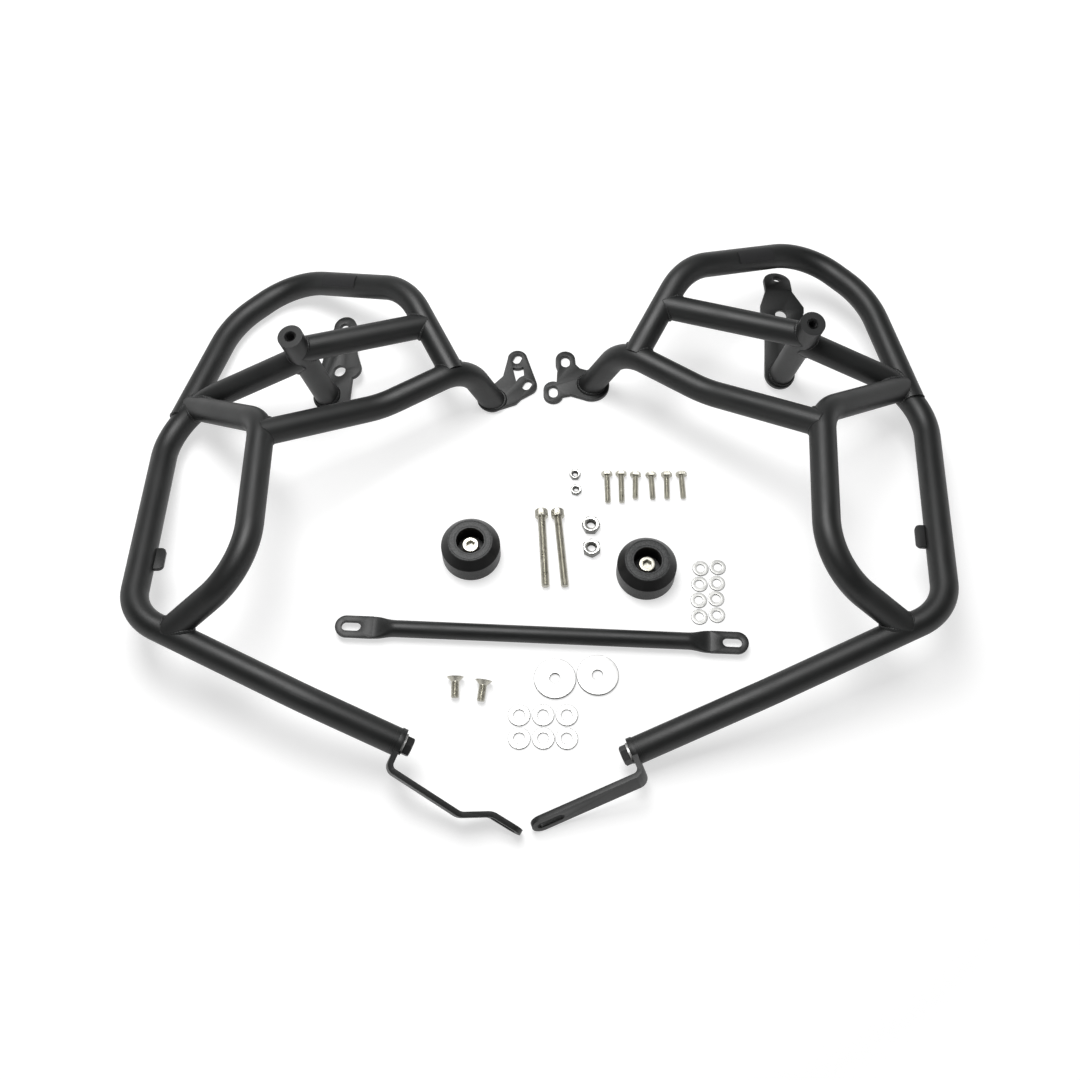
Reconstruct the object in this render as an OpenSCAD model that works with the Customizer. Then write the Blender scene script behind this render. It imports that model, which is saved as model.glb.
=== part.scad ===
// Motorcycle crash bar kit laid out on the floor: two bent tube guards, a cross brace,
// two sliders and the loose fasteners. Millimetres, +Z up.

/* [Tube] */
// Outer diameter of the guard tube
tube_d = 25.4; // [20:0.1:32]
// Wall thickness of the guard tube
tube_wall = 2; // [1.2:0.1:3]
// Gap left between a coped tube end and the tube it is welded on
weld_gap = 0.05; // [0:0.01:0.3]

/* [Guard centre line] */
// Slight bend in the lower run
run_kink = [-209, -188.5, 68]; // [-500:0.5:500]
// Lower outer corner
low_corner = [-371.5, -110, 71.5]; // [-500:0.5:500]
// Upper outer corner
high_corner = [-382, 139, 12.7]; // [-500:0.1:500]
// Start of the inner tube on the lower run
inner_foot = [-335, -127.5, 70.5]; // [-500:0.5:500]
// Lower bend of the inner tube
inner_low = [-259, -87, 123]; // [-500:0.5:500]
// Upper bend of the inner tube
inner_high = [-263.5, 74, 105.5]; // [-500:0.5:500]
// End of the inner tube inside the upper outer corner
inner_top = [-360, 140.5, 24.5]; // [-500:0.5:500]
// Start of the rail on the inner tube
rail_start = [-263.2, 59, 107.4]; // [-500:0.1:500]
// Slight bend in the rail
rail_kink = [-157, 114, 68.3]; // [-500:0.1:500]
// Bend where the rail turns down to its flange
rail_turn = [-75.5, 163, 65]; // [-500:0.5:500]
// Start of the hoop inside the upper outer corner
hoop_start = [-368, 125, 25]; // [-500:0.5:500]
// First bend of the hoop
hoop_low = [-332, 254.3, 12.7]; // [-500:0.1:500]
// Second bend of the hoop
hoop_high = [-268.6, 310.7, 14]; // [-500:0.1:500]
// Third bend of the hoop
hoop_inner = [-138, 250, 79.5]; // [-500:0.5:500]
// End of the hoop on the rail
hoop_end = [-88, 155.3, 65.4]; // [-500:0.1:500]
// End of the cross tube on the hoop
cross_end = [-116.3, 208.9, 73.4]; // [-500:0.1:500]
// Bend radius of the lower run's slight bend
run_bend = 120; // [60:5:200]
// Bend radius of the lower outer corner
low_bend = 45; // [35:1:90]
// Bend radius of the upper outer corner
high_bend = 60; // [35:1:90]
// Bend radius of the inner tube's lower bend
inner_low_bend = 65; // [35:1:90]
// Bend radius of the inner tube's upper bend
inner_high_bend = 40; // [35:1:90]
// Bend radius of the rail's slight bend
rail_kink_bend = 100; // [60:5:200]
// Bend radius of the rail's turn
rail_turn_bend = 40; // [30:1:60]
// Bend radius of the hoop's first bend
hoop_low_bend = 100; // [60:1:120]
// Bend radius of the hoop's second and third bends
hoop_bend = 60; // [35:1:80]

/* [Left guard] */
// Lower end of the main tube
left_run_end = [-126.6, -220.8, 44.7]; // [-500:0.5:500]
// End of the main tube on the slider boss
left_main_end = [-235.2, 158.9, 88.2]; // [-500:0.1:500]
// Start of the cross tube on the slider boss
left_cross_start = [-237.3, 158.4, 100.8]; // [-500:0.1:500]
// Top of the slider boss
left_boss_top = [-240.8, 156.2, 126.6]; // [-500:0.1:500]
// Foot of the slider boss
left_boss_foot = [-224.3, 165.5, 9.2]; // [-500:0.1:500]
// End of the rail on its flange plate
left_rail_end = [-50.5, 162.5, 5]; // [-500:0.1:500]

/* [Right guard] */
// Lower end of the main tube, in the mirrored guard's own axes
right_run_end = [-92.3, -240.1, 52.5]; // [-500:0.1:500]
// End of the main tube on the slider boss
right_main_end = [-254, 170.4, 67.4]; // [-500:0.1:500]
// Start of the cross tube on the slider boss
right_cross_start = [-256.1, 169.9, 80]; // [-500:0.1:500]
// Top of the slider boss
right_boss_top = [-259.6, 167.7, 105.8]; // [-500:0.1:500]
// Foot of the slider boss
right_boss_foot = [-243.1, 177, -11.6]; // [-500:0.1:500]
// End of the rail on its flange plate
right_rail_end = [-42.4, 160.2, -2.1]; // [-500:0.1:500]
// Turns about X, Y and Z that lay the mirrored guard down
right_turn = [5.47, -3.71, -2.37]; // [-30:0.01:30]
// Shift of the mirrored guard
right_shift = [6.7, 24.3, -10.4]; // [-50:0.1:50]

/* [Slider boss] */
// Outer diameter of the boss
boss_d = 25; // [20:0.5:30]
// Radius of its threaded hole
boss_hole_r = 5; // [3:0.1:6]
// Depth of its threaded hole
boss_hole_depth = 35; // [10:1:60]

/* [Plates] */
// Thickness of the mounting plates and brackets
plate_t = 5; // [3:0.5:8]
// Radius of the large hole in each mounting plate
plate_hole_r = 6.5; // [4:0.25:8]
// Radius of the small hole at each mounting plate's end
plate_end_hole_r = 4.25; // [3:0.25:6]
// Width of the slots in the flange plates
slot_w = 9.5; // [6:0.5:12]
// Length of the slots in the flange plates
slot_l = 14.5; // [10:0.5:20]
// Radius of the flange plates' round lobes
lobe_r = 10.5; // [8:0.5:14]
// Radius of the left flange plate's window along each lobe
window_r = 12.5; // [11:0.5:15]
// Radius of the right flange plate's pad under the rail
pad_r = 19; // [15:0.5:24]
// Angle of the right mounting plate's folded end
fold_angle = 25; // [0:1:45]

/* [Drop brackets] */
// Width of the bracket strap
strap_w = 20; // [16:0.5:30]
// Diameter of the bracket's round ear
ear_d = 27; // [24:0.5:34]
// Distance from the bolt axis to the middle of the left strap
left_ear_reach = 25; // [22:0.5:45]
// Distance from the bolt axis to the middle of the right strap
right_ear_reach = 28; // [22:0.5:45]
// Start of the left strap's joggle: along the tube, and out from the strap's start
left_joggle_start = [76.8, 10.7]; // [-20:0.1:100]
// End of the left strap's joggle
left_joggle_end = [102.3, -1.3]; // [-20:0.1:130]
// Centre of the left strap's round end
left_strap_tip = [124, 1.3]; // [-20:0.1:160]
// Distance along the tube to the centre of the right strap's round end
right_strap_l = 102; // [60:0.5:140]
// Bend radius of the bracket's middle plane
strap_bend = 7; // [4:0.5:15]
// Turn of the left bracket about its bolt
left_bracket_roll = 6; // [-60:1:60]
// Turn of the right bracket about its bolt
right_bracket_roll = -20; // [-60:1:60]
// Thickness of the tube end's plug rim
plug_rim = 4; // [2:0.5:8]
// Depth of the plug inside the tube
plug_depth = 24; // [12:1:40]

/* [Brace] */
// Overall length of the brace
brace_l = 395.5; // [300:0.5:500]
// Diameter of the brace tube
brace_d = 16.5; // [12:0.1:20]
// Width of the flattened ends
brace_end_w = 22; // [18:0.5:28]
// Thickness of the flattened ends
brace_end_t = 4; // [3:0.5:6]
// Length of the flattened ends
brace_flat_l = 37; // [25:0.5:50]
// Length of the run from the flat end to the round tube
brace_flare_l = 22; // [10:0.5:40]

/* [Slider] */
// Diameter of the slider puck
puck_d = 58; // [45:0.5:70]
// Height of the slider puck
puck_h = 31; // [20:0.5:50]
// Height of the puck's chamfer
puck_slope_h = 10.5; // [4:0.5:15]
// Radial width of the puck's chamfer
puck_slope_w = 7; // [3:0.5:12]
// Diameter of the puck's screw pocket
pocket_d = 27; // [20:0.5:35]
// Depth of the puck's screw pocket
pocket_depth = 19; // [8:0.5:25]

/* [Hidden] */
$fn = 64;
tiny = 0.01;
lap = 0.5;
step_in = 0.03;
bore_d = tube_d - 2 * tube_wall;
kit_shift = [-3.67, -13.49, 0];
ear_mid = plate_t / 2 + weld_gap;
left_main_path = [left_run_end, run_kink, low_corner, high_corner, left_main_end];
right_main_path = [right_run_end, run_kink, low_corner, high_corner, right_main_end];
main_bends = [0, run_bend, low_bend, high_bend, 0];
inner_path = [inner_foot, inner_low, inner_high, inner_top];
inner_bends = [0, inner_low_bend, inner_high_bend, 0];
left_rail_path = [rail_start, rail_kink, rail_turn, left_rail_end];
right_rail_path = [rail_start, rail_kink, rail_turn, right_rail_end];
rail_bends = [0, rail_kink_bend, rail_turn_bend, 0];
hoop_path = [hoop_start, hoop_low, hoop_high, hoop_inner, hoop_end];
hoop_bends = [0, hoop_low_bend, hoop_bend, hoop_bend, 0];

function unit(v) = v / norm(v);
function turn_angle(a, b, c) = acos(unit(b - a) * unit(c - b));
function turn_cut(a, b, c, r) = r * tan(turn_angle(a, b, c) / 2);
function aim(v) = [0, acos(v[2] / norm(v)), atan2(v[1], v[0])];
function frame_turn(x, y, z) = [atan2(y[2], z[2]), -asin(x[2]), atan2(x[1], x[0])];
function side_axis(u, w) = unit(w - (w * u) * u);

// Straight round bar between two points
module bar(a, b, d) {
  translate(a) rotate(aim(b - a)) cylinder(h = norm(b - a), d = d);
}

// Round bend at corner b, between the bars from a and to c
module elbow(a, b, c, r, d) {
  u = unit(b - a);
  w = unit(c - b);
  m = side_axis(u, w);
  n = cross(u, m);
  start = b - u * turn_cut(a, b, c, r);
  translate(start + m * r) rotate(frame_turn(-m, u, n))
    rotate_extrude(angle = turn_angle(a, b, c)) translate([r, 0]) circle(d = d);
}

// Length that a straight leg gives up to its bend, less the lap that ties the two together
function leg_cut(pts, bends, i) =
  i == 0 || i == len(pts) - 1 ? 0 : turn_cut(pts[i - 1], pts[i], pts[i + 1], bends[i]) - lap;

// Round bar along a list of corners with a bend radius at each inner corner;
// the bends are a hair thinner than the straights, so that the two never meet in a tangent
module bent_bar(pts, bends, d) {
  last = len(pts) - 1;
  for (i = [0 : last - 1]) {
    u = unit(pts[i + 1] - pts[i]);
    bar(pts[i] + u * leg_cut(pts, bends, i), pts[i + 1] - u * leg_cut(pts, bends, i + 1), d);
  }
  for (i = [1 : last - 1])
    elbow(pts[i - 1], pts[i], pts[i + 1], bends[i], d - 2 * step_in);
}

// Hollow tube along a list of corners
module bent_tube(pts, bends) {
  difference() {
    bent_bar(pts, bends, tube_d);
    bent_bar(pts, bends, bore_d);
  }
}

// Axes of a plate square to the boss: X across, Y up the sheet, Z along the boss
module foot_axes(top, foot) {
  z = unit(top - foot);
  y = unit([0, 1, 0] - z[1] * z);
  translate(foot) rotate(frame_turn(cross(y, z), y, z)) children();
}

// Axes of a drop bracket: X out of the tube, Y from the bolt to the strap
module end_axes(path, roll) {
  x = unit(path[0] - path[1]);
  h = unit([x[1], -x[0], 0]);
  k = cross(x, h);
  y = h * cos(roll) + k * sin(roll);
  translate(path[0]) rotate(frame_turn(x, y, cross(x, y))) children();
}

module on_left() {
  translate(kit_shift) children();
}

module on_right() {
  translate(kit_shift + right_shift) rotate(right_turn) mirror([1, 0, 0]) children();
}

module stadium(l, w) {
  translate([-(l - w) / 2, 0]) circle(d = w);
  translate([(l - w) / 2, 0]) circle(d = w);
  square([l - w, w - 2 * tiny], center = true);
}

module main_tube(path, boss_top, boss_foot) {
  difference() {
    bent_tube([path[0] + unit(path[1] - path[0]) * plug_rim, path[1], path[2], path[3], path[4]],
      main_bends);
    bar(boss_foot, boss_top, boss_d + 2 * weld_gap);
  }
}

module inner_tube(path) {
  difference() {
    bent_tube(inner_path, inner_bends);
    bent_bar(path, main_bends, tube_d + 2 * weld_gap);
  }
}

module rail(path) {
  difference() {
    bent_tube(path, rail_bends);
    bent_bar(inner_path, inner_bends, tube_d + 2 * weld_gap);
  }
}

module hoop(path, rail_path) {
  difference() {
    bent_tube(hoop_path, hoop_bends);
    bent_bar(path, main_bends, tube_d + 2 * weld_gap);
    bent_bar(rail_path, rail_bends, tube_d + 2 * weld_gap);
    bent_bar(inner_path, inner_bends, tube_d + 2 * weld_gap);
  }
}

module cross_tube(start, boss_top, boss_foot, path) {
  difference() {
    bar(start, cross_end, tube_d);
    bar(start, cross_end, bore_d);
    bar(boss_foot, boss_top, boss_d + 2 * weld_gap);
    bent_bar(hoop_path, hoop_bends, tube_d + 2 * weld_gap);
    bent_bar(path, main_bends, tube_d + 2 * weld_gap);
  }
}

module boss(top, foot) {
  h = norm(top - foot);
  foot_axes(top, foot) difference() {
    cylinder(h = h, d = boss_d);
    translate([0, 0, h - boss_hole_depth]) cylinder(h = boss_hole_depth + 1, r = boss_hole_r);
    translate([0, 0, h - 1]) cylinder(h = 1 + tiny, r1 = boss_hole_r, r2 = boss_hole_r + 1);
  }
}

// Points along an arc, for the outlines of the plates
function arc(c, r, from, to, steps = 12) =
  [for (i = [0:steps]) c + r * [cos(from + (to - from) * i / steps), sin(from + (to - from) * i / steps)]];

module left_mount_outline() {
  difference() {
    union() {
      translate([1, -1]) circle(r = 16);
      translate([15.5, 82]) circle(r = 12.3);
      translate([23, 31]) circle(r = 12);
      polygon([[-10, -12.6], [10, -14], [22, -14], [24, -9], [26, 19.5], [34.3, 35], [29.7, 50],
        [27.8, 70], [27.8, 82], [3.2, 82], [-7, 45], [-15, 0]]);
    }
    translate([11.8, 28.5]) circle(r = plate_hole_r);
    translate([14.5, 82]) circle(r = plate_end_hole_r);
  }
}

module left_mount_body() {
  foot_axes(left_boss_top, left_boss_foot) translate([0, 0, -plate_t - weld_gap])
    linear_extrude(plate_t) left_mount_outline();
}

// The plate's folded end is cut from the same outline, seen from above the flat part
module right_mount_body() {
  fold_y = 100;
  end_y = fold_y + 14 * cos(fold_angle);
  run = [cos(fold_angle), -sin(fold_angle)];
  fold_top = [fold_y, plate_t];
  under = plate_t * [-sin(fold_angle), -cos(fold_angle)];
  foot_axes(right_boss_top, right_boss_foot) translate([0, 0, -plate_t - weld_gap]) difference() {
    intersection() {
      translate([0, 0, -20]) linear_extrude(40) polygon(concat(
        arc([1, 0], 16, 180, 360, 20),
        [[16.3, 40], [19, 66], [20.7, 74], [20.7, 80], [15.5, 97]],
        [for (p = arc([0, 0], 14.6, 0, 180, 20)) [0.9 + p[0], end_y + p[1] * cos(fold_angle)]],
        [[-13.7, 98], [-26.4, 80], [-26.4, 74], [-17, 40]]));
      rotate([90, 0, 90]) linear_extrude(60, center = true) polygon([[-30, 0],
        [fold_y - plate_t * tan(fold_angle / 2), 0], fold_top + 40 * run + under,
        fold_top + 40 * run, fold_top, [-30, plate_t]]);
    }
    translate([-1.4, 69.1, -1]) cylinder(h = plate_t + 2, r = plate_hole_r);
    translate([0, fold_y, plate_t]) rotate([-fold_angle, 0, 0]) translate([0.9, 18, -plate_t - 1])
      cylinder(h = plate_t + 2, r = plate_end_hole_r);
  }
}

// Slot through a sheet that lies on the floor
module slot_cut(at, turn, l, w) {
  translate([at[0], at[1], -1]) rotate(turn) {
    for (k = [-1, 1]) translate([k * (l - w) / 2, 0, 0]) cylinder(h = plate_t + 2, d = w);
    translate([-(l - w) / 2, -w / 2 + tiny, 0]) cube([l - w, w - 2 * tiny, plate_t + 2]);
  }
}

module left_flange_body() {
  upper = [26.3, 52.4];
  lower = [36.9, 18.9];
  translate([left_rail_end[0], left_rail_end[1], 0]) difference() {
    linear_extrude(plate_t - weld_gap) polygon(concat(
      arc([0, 0], tube_d / 2, 140, 305, 20),
      [[25.2, -3.7], [30.6, 2.5]],
      arc(lower, lobe_r, -60, 14),
      arc(upper, lobe_r, 14, 180, 20),
      [[11, 30]]));
    slot_cut(upper, 65, slot_l - 1.5, slot_w - 1);
    slot_cut(lower, 60, slot_l - 1.5, slot_w - 1);
    translate([0, 0, -1]) linear_extrude(plate_t + 2) polygon(concat(
      arc(upper, window_r, 247, 301, 8),
      arc(lower, window_r, 105, 160, 8)));
  }
}

module right_flange_body() {
  reach = (slot_l - slot_w) / 2;
  upper = [-27.4, 29.3];
  lower = [-40.6, -9.2];
  up = [0, reach];
  translate([54.7, 182.1, 0]) difference() {
    linear_extrude(plate_t - weld_gap) polygon(concat(
      arc([0, 0], pad_r, 105, -115, 28),
      [[-22, -12.5]],
      arc(lower - up, lobe_r, -15, -180, 16),
      arc(lower + up, lobe_r, 180, 70, 10),
      [[-36.6, 13], [-36, 20]],
      arc(upper - up, lobe_r, 205, 180, 3),
      arc(upper + up, lobe_r, 180, 0, 18),
      [[-16.4, 25.5], [-12, 20.5]]));
    slot_cut(upper, 90, slot_l, slot_w);
    slot_cut(lower, 90, slot_l, slot_w);
  }
}

// Slab below the flange plates' upper faces, which trims the rails square to the plates
module below_flanges() {
  translate([-120, 100, -60]) cube([240, 120, 60 + plate_t]);
}

module end_plug(path) {
  end_axes(path, 0) rotate([0, -90, 0]) difference() {
    union() {
      cylinder(h = plug_rim - weld_gap, d = tube_d);
      cylinder(h = plug_rim + plug_depth, d = bore_d - 0.1);
    }
    translate([0, 0, -1]) cylinder(h = plug_rim + plug_depth - 3, r = 5.05);
  }
}

// Flat strip through 2D corners with a bend radius at each inner corner
module strip(pts, bends, t) {
  last = len(pts) - 1;
  for (i = [0 : last - 1]) {
    u = unit(pts[i + 1] - pts[i]);
    from_cut = leg_cut(pts, bends, i);
    l = norm(pts[i + 1] - pts[i]) - from_cut - leg_cut(pts, bends, i + 1);
    translate(pts[i] + u * from_cut) rotate(atan2(u[1], u[0])) translate([0, -t / 2]) square([l, t]);
  }
  for (i = [1 : last - 1]) {
    u = unit(pts[i] - pts[i - 1]);
    w = unit(pts[i + 1] - pts[i]);
    m = side_axis(u, w);
    r = bends[i];
    far = 3 * r;
    q = side_axis(w, u);
    translate(pts[i] - u * turn_cut(pts[i - 1], pts[i], pts[i + 1], r) + m * r) intersection() {
      difference() {
        circle(r = r + t / 2 - step_in);
        circle(r = r - t / 2 + step_in);
      }
      polygon([[0, 0], -m * far - u * lap, (u - w - m * lap) * far, q * far + w * lap]);
    }
  }
}

// Folded strap with a round bolted ear at its start and a slotted round end
module bracket(pts, bends, slot_back, slot_length) {
  last = len(pts) - 1;
  d = pts[last] - pts[last - 1];
  thin = plate_t - 2 * step_in;
  difference() {
    union() {
      linear_extrude(strap_w, center = true) strip(pts, bends, plate_t);
      translate([weld_gap + step_in, 0, 0]) rotate([0, 90, 0]) cylinder(h = thin, d = ear_d);
      translate([pts[last][0], pts[last][1], 0]) rotate([90, 0, atan2(d[1], d[0])])
        translate([0, 0, -thin / 2]) cylinder(h = thin, d = strap_w - 2 * tiny);
    }
    translate([-1, 0, 0]) rotate([0, 90, 0]) cylinder(h = plate_t + 2, d = 10.5);
    translate([pts[last][0], pts[last][1], 0]) rotate([90, 0, atan2(d[1], d[0])])
      translate([-slot_back, 0, -plate_t]) {
        for (k = [-1, 1]) translate([k * (slot_length - 9) / 2, 0, 0]) cylinder(h = 2 * plate_t, d = 9);
        translate([-(slot_length - 9) / 2, -4.49, 0]) cube([slot_length - 9, 8.98, 2 * plate_t]);
      }
  }
}

module left_bracket_body() {
  end_axes(left_main_path, left_bracket_roll) bracket(
    [[ear_mid, 0], [ear_mid, left_ear_reach], left_joggle_start + [0, left_ear_reach],
      left_joggle_end + [0, left_ear_reach], left_strap_tip + [0, left_ear_reach]],
    [0, strap_bend, 12, 12, 0], 8, 26);
}

module right_bracket_body() {
  end_axes(right_main_path, right_bracket_roll) bracket(
    [[ear_mid, 0], [ear_mid, right_ear_reach], [right_strap_l, right_ear_reach]],
    [0, strap_bend, 0], 8, 26);
}

module hex_prism(af, h) {
  cylinder(h = h, d = af / cos(30), $fn = 6);
}

module bracket_bolt(path, roll) {
  end_axes(path, roll) rotate([0, 90, 0]) {
    translate([0, 0, -plug_depth + 8]) cylinder(h = plug_depth - 8 + plate_t + 2.2, r = 5);
    translate([0, 0, plate_t + 2.2]) intersection() {
      hex_prism(16, 7);
      union() {
        cylinder(h = 5.8, d = 20);
        translate([0, 0, 5.8]) cylinder(h = 1.2, d1 = 18.6, d2 = 15);
      }
    }
  }
}

module bracket_washer(path, roll) {
  end_axes(path, roll) rotate([0, 90, 0]) translate([0, 0, plate_t + 0.1]) difference() {
    cylinder(h = 2, d = 20);
    translate([0, 0, -1]) cylinder(h = 4, r = 5.1);
  }
}

// Small lug on the inner side of the outer upright
module tab_body(share) {
  p = low_corner + (high_corner - low_corner) * share;
  u = unit(high_corner - low_corner);
  y = u;
  x = unit([1, 0, 0] - u[0] * u);
  translate(p) rotate(frame_turn(x, y, cross(x, y))) difference() {
    union() {
      translate([0, -12.5, -2]) cube([tube_d / 2 + 4, 25, 4]);
      translate([tube_d / 2 + 4, -7.5, -2]) cylinder(h = 4, r = 5);
      translate([tube_d / 2 + 4, 7.5, -2]) cylinder(h = 4, r = 5);
      translate([tube_d / 2, -7.5, -2]) cube([9, 15, 4]);
    }
    rotate([-90, 0, 0]) translate([0, 0, -20]) cylinder(h = 40, d = tube_d + 2 * weld_gap);
  }
}

// Thin bare label pad on top of the hoop
module badge_body() {
  u = unit(hoop_inner - hoop_high);
  p = hoop_high + u * 74;
  up = unit([0, -0.35, 1] - ([0, -0.35, 1] * u) * u);
  translate(p) rotate(frame_turn(u, cross(up, u), up)) intersection() {
    difference() {
      rotate([0, 90, 0]) cylinder(h = 60, d = tube_d + 1.2, center = true);
      rotate([0, 90, 0]) cylinder(h = 62, d = tube_d + 2 * weld_gap, center = true);
    }
    linear_extrude(20) {
      square([46, 10], center = true);
      square([42, 14], center = true);
      for (x = [-21, 21]) for (y = [-5, 5]) translate([x, y]) circle(r = 2);
    }
  }
}

module brace_body() {
  half = brace_l / 2;
  flat_mid = half - brace_end_w / 2;
  shoulder = half - brace_flat_l;
  difference() {
    union() {
      translate([-shoulder + brace_flare_l, 0, 0]) rotate([0, 90, 0])
        cylinder(h = 2 * (shoulder - brace_flare_l), d = brace_d);
      for (s = [-1, 1]) {
        translate([s * flat_mid, 0, 0]) cylinder(h = brace_end_t, d = brace_end_w, center = true);
        translate([s * (shoulder + flat_mid) / 2, 0, 0])
          cube([flat_mid - shoulder, brace_end_w, brace_end_t], center = true);
        hull() {
          translate([s * (shoulder - brace_flare_l), 0, 0]) rotate([0, 90, 0])
            cylinder(h = tiny, d = brace_d, center = true, $fn = 32);
          translate([s * shoulder, 0, 0]) cube([tiny, brace_end_w, brace_end_t], center = true);
        }
      }
    }
    for (s = [-1, 1]) translate([s * (half - 15.5), 0, -5]) linear_extrude(10) stadium(18.5, 9);
  }
}

module puck(at) {
  rim = puck_d / 2 - puck_slope_w;
  translate(at) rotate_extrude() difference() {
    polygon([[5.3, 0], [puck_d / 2 - 1, 0], [puck_d / 2, 1], [puck_d / 2, puck_h - puck_slope_h],
      [rim, puck_h], [pocket_d / 2 + 0.8, puck_h], [pocket_d / 2, puck_h - 0.8],
      [pocket_d / 2, puck_h - pocket_depth], [5.3, puck_h - pocket_depth]]);
    translate([20.3, puck_h - 0.5]) square([0.8, 2]);
    translate([15, puck_h - 0.4]) square([0.6, 2]);
  }
}

module puck_screw(at) {
  seat = puck_h - pocket_depth;
  translate(at) {
    translate([0, 0, 0.1]) cylinder(h = seat, r = 5);
    translate([0, 0, seat + 0.05]) difference() {
      union() {
        cylinder(h = 9.2, d = 16);
        translate([0, 0, 9.2]) cylinder(h = 0.8, d1 = 16, d2 = 14.4);
      }
      translate([0, 0, 5]) hex_prism(8, 6);
    }
  }
}

// Lays a screw down: its head's underside edge and its tip both touch the floor
module lying(head_r, head_h, shank_r, shank_l, heading, at) {
  tilt = atan((head_r - shank_r) / shank_l);
  lift = head_h * sin(tilt) + head_r * cos(tilt);
  translate([at[0], at[1], lift]) rotate([0, 90 + tilt, heading]) children();
}

module socket_screw(at, heading, roll) {
  lying(6.5, 8, 4, 75, heading, at) rotate(roll) {
    difference() {
      union() {
        translate([0, 0, 0.6]) cylinder(h = 7.4, d = 13);
        cylinder(h = 0.6, d1 = 11.8, d2 = 13);
      }
      translate([0, 0, -1]) hex_prism(6, 5);
    }
    translate([0, 0, 8]) cylinder(h = 74, r = 4);
    translate([0, 0, 82]) cylinder(h = 1, r1 = 4, r2 = 3.1);
  }
}

module hex_bolt(at, heading, l) {
  lying(5, 4, 3, l, heading, at) rotate(30) {
    intersection() {
      hex_prism(10, 4);
      union() {
        cylinder(h = 0.7, d1 = 9.4, d2 = 11.8);
        translate([0, 0, 0.7]) cylinder(h = 3.3, d = 13);
      }
    }
    translate([0, 0, 4]) cylinder(h = l - 0.8, r = 3);
    translate([0, 0, 3.2 + l]) cylinder(h = 0.8, r1 = 3, r2 = 2.3);
  }
}

module countersunk_screw(at, heading) {
  tilt = atan(4 / 20);
  translate([at[0], at[1], 8 * cos(tilt) + 0.4 * sin(tilt)]) rotate([0, 90 + tilt, heading]) difference() {
    union() {
      cylinder(h = 0.4, r = 8);
      translate([0, 0, 0.4]) cylinder(h = 4, r1 = 8, r2 = 4);
      translate([0, 0, 4.4]) cylinder(h = 14.8, r = 4);
      translate([0, 0, 19.2]) cylinder(h = 0.8, r1 = 4, r2 = 3.2);
    }
    translate([0, 0, -1]) hex_prism(5, 3.8);
  }
}

module nut(at, turn, af, h, hole_r) {
  translate(at) rotate(turn) difference() {
    intersection() {
      hex_prism(af, h);
      union() {
        cylinder(h = h / 2, r1 = af / 2 - 0.3, r2 = af / 2 - 0.3 + h / 2 * 1.6);
        translate([0, 0, h / 2]) cylinder(h = h / 2, r1 = af / 2 - 0.3 + h / 2 * 1.6, r2 = af / 2 - 0.3);
      }
    }
    translate([0, 0, -1]) cylinder(h = h + 2, r = hole_r);
    translate([0, 0, h - 0.6]) cylinder(h = 0.7, r1 = hole_r, r2 = hole_r + 0.7);
  }
}

module washer(at, od, id, h) {
  translate(at) difference() {
    cylinder(h = h, d = od);
    translate([0, 0, -1]) cylinder(h = h + 2, d = id);
  }
}

black = [0.06, 0.06, 0.065];
steel = [0.72, 0.7, 0.66];
pale = [0.86, 0.86, 0.87];

module left_main_tube() {
  color(black) on_left() main_tube(left_main_path, left_boss_top, left_boss_foot);
}

module right_main_tube() {
  color(black) on_right() main_tube(right_main_path, right_boss_top, right_boss_foot);
}

module left_inner_tube() {
  color(black) on_left() inner_tube(left_main_path);
}

module right_inner_tube() {
  color(black) on_right() inner_tube(right_main_path);
}

module left_rail() {
  color(black) difference() {
    on_left() rail([rail_start, rail_kink, rail_turn,
      left_rail_end + unit(left_rail_end - rail_turn) * 12]);
    translate(kit_shift) below_flanges();
  }
}

module right_rail() {
  color(black) difference() {
    on_right() rail([rail_start, rail_kink, rail_turn,
      right_rail_end + unit(right_rail_end - rail_turn) * 12]);
    translate(kit_shift) below_flanges();
  }
}

module left_hoop() {
  color(black) on_left() hoop(left_main_path, left_rail_path);
}

module right_hoop() {
  color(black) on_right() hoop(right_main_path, right_rail_path);
}

module left_cross_tube() {
  color(black) on_left()
    cross_tube(left_cross_start, left_boss_top, left_boss_foot, left_main_path);
}

module right_cross_tube() {
  color(black) on_right()
    cross_tube(right_cross_start, right_boss_top, right_boss_foot, right_main_path);
}

module left_boss() {
  color(black) on_left() boss(left_boss_top, left_boss_foot);
}

module right_boss() {
  color(black) on_right() boss(right_boss_top, right_boss_foot);
}

module left_mount_plate() {
  color(black) on_left() left_mount_body();
}

module right_mount_plate() {
  color(black) on_right() right_mount_body();
}

module left_flange_plate() {
  color(black) on_left() left_flange_body();
}

module right_flange_plate() {
  color(black) translate(kit_shift) right_flange_body();
}

module left_end_plug() {
  color(black) on_left() end_plug(left_main_path);
}

module right_end_plug() {
  color(black) on_right() end_plug(right_main_path);
}

module left_drop_bracket() {
  color(black) on_left() left_bracket_body();
}

module right_drop_bracket() {
  color(black) on_right() right_bracket_body();
}

module left_bracket_bolt() {
  color(black) on_left() bracket_bolt(left_main_path, left_bracket_roll);
}

module right_bracket_bolt() {
  color(black) on_right() bracket_bolt(right_main_path, right_bracket_roll);
}

module left_bracket_washer() {
  color(steel) on_left() bracket_washer(left_main_path, left_bracket_roll);
}

module right_bracket_washer() {
  color(steel) on_right() bracket_washer(right_main_path, right_bracket_roll);
}

module left_tab() {
  color(black) on_left() tab_body(0.245);
}

module right_tab() {
  color(black) on_right() tab_body(0.31);
}

module left_badge() {
  color(black) on_left() badge_body();
}

module right_badge() {
  color(black) on_right() badge_body();
}

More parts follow.
